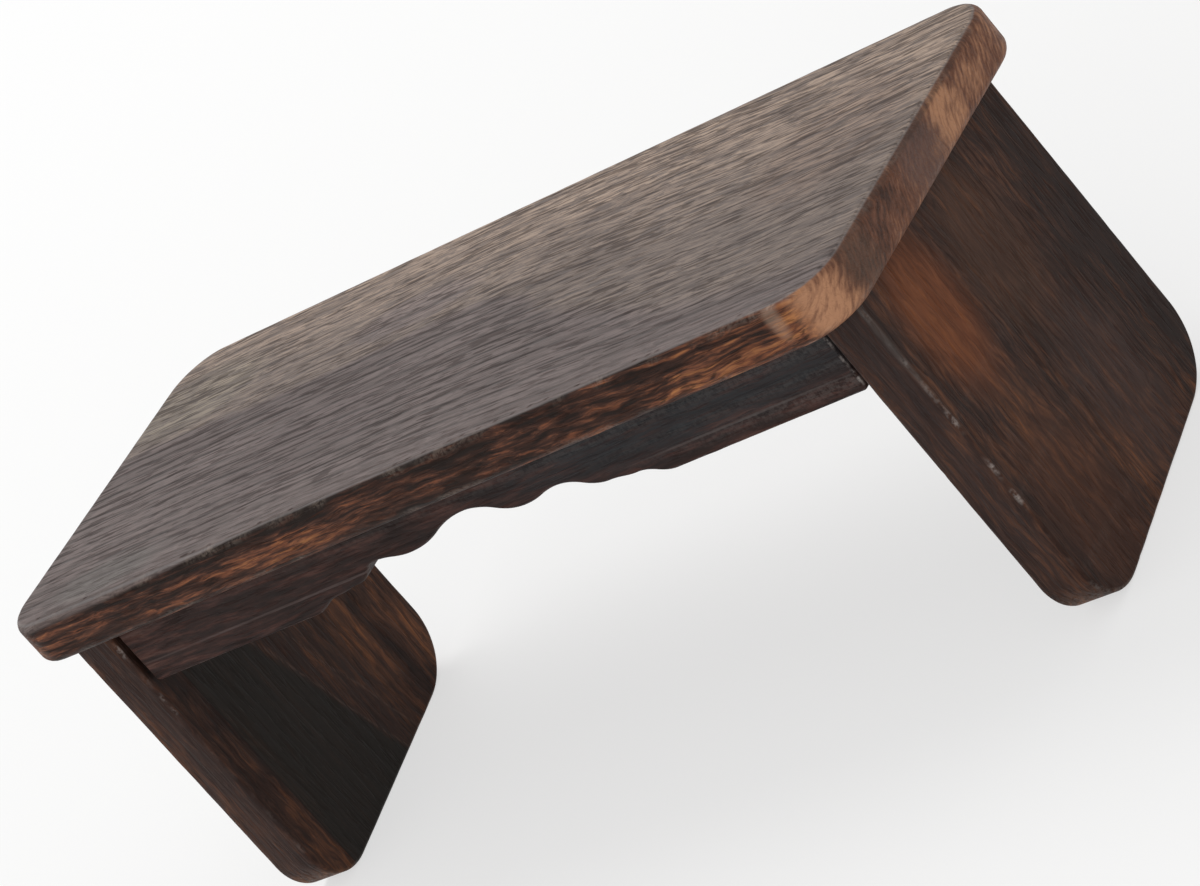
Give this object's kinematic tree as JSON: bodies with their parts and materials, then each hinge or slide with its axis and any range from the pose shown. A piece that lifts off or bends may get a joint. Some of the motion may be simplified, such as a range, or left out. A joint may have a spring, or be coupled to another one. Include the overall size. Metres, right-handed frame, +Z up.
{
  "type": "folding meditation bench",
  "caption": "Low kneeling bench: a thick tilted seat board on leg panels that fold inwards under it on butt hinges, with a scalloped apron between the legs.",
  "frame": {"origin": "on the floor, at the middle of the standing bench's outer box", "axes": "+X along the bench towards the right leg, +Y from the apron side to the back, +Z up; the seat is tilted 7 degrees about X, with its apron side the higher"},
  "size_m": [0.44, 0.1704, 0.1695],
  "materials": {
    "seat_wood": "dark brown wood with fine near-black grain lines along the board, greyer on the top face, oiled",
    "apron_wood": "near-black brown wood, grain along the rail, satin",
    "leg_wood": "dark brown wood, vertical grain with orange-brown streaks, satin",
    "rail_wood": "dark brown wood, plain",
    "dowel_wood": "pale unfinished hardwood",
    "hinge_brass": "aged, lightly brushed",
    "hinge_pins": "plain",
    "brass_screws": "slotted, lightly worn",
    "steel_screws": "slotted, zinc plated"
  },
  "bodies": {
    "seat": {"apron": "apron_wood", "apron_dowels": "dowel_wood", "left_back_hinge_pin": "hinge_pins", "left_back_hinge_seat_leaf": "hinge_brass", "left_front_hinge_pin": "hinge_pins", "left_front_hinge_seat_leaf": "hinge_brass", "left_hinge_rail": "rail_wood", "left_rail_screws": "steel_screws", "left_seat_leaf_screws": "brass_screws", "right_back_hinge_pin": "hinge_pins", "right_back_hinge_seat_leaf": "hinge_brass", "right_front_hinge_pin": "hinge_pins", "right_front_hinge_seat_leaf": "hinge_brass", "right_hinge_rail": "rail_wood", "right_rail_screws": "steel_screws", "right_seat_leaf_screws": "brass_screws", "seat_board": "seat_wood"},
    "left_leg": {"left_back_hinge_leg_leaf": "hinge_brass", "left_front_hinge_leg_leaf": "hinge_brass", "left_leg": "leg_wood", "left_leg_leaf_screws": "brass_screws"},
    "right_leg": {"right_back_hinge_leg_leaf": "hinge_brass", "right_front_hinge_leg_leaf": "hinge_brass", "right_leg": "leg_wood", "right_leg_leaf_screws": "brass_screws"}
  },
  "joints": [
    {"name": "left_leg_fold", "type": "hinge", "parent": "seat", "child": "left_leg", "pos_m": [-0.18865, -0.00107, 0.10812], "axis": [0, -0.9925, 0.1219], "range_deg": [0, 90]},
    {"name": "right_leg_fold", "type": "hinge", "parent": "seat", "child": "right_leg", "pos_m": [0.18865, -0.00107, 0.10812], "axis": [0, 0.9925, -0.1219], "range_deg": [0, 90]}
  ]
}
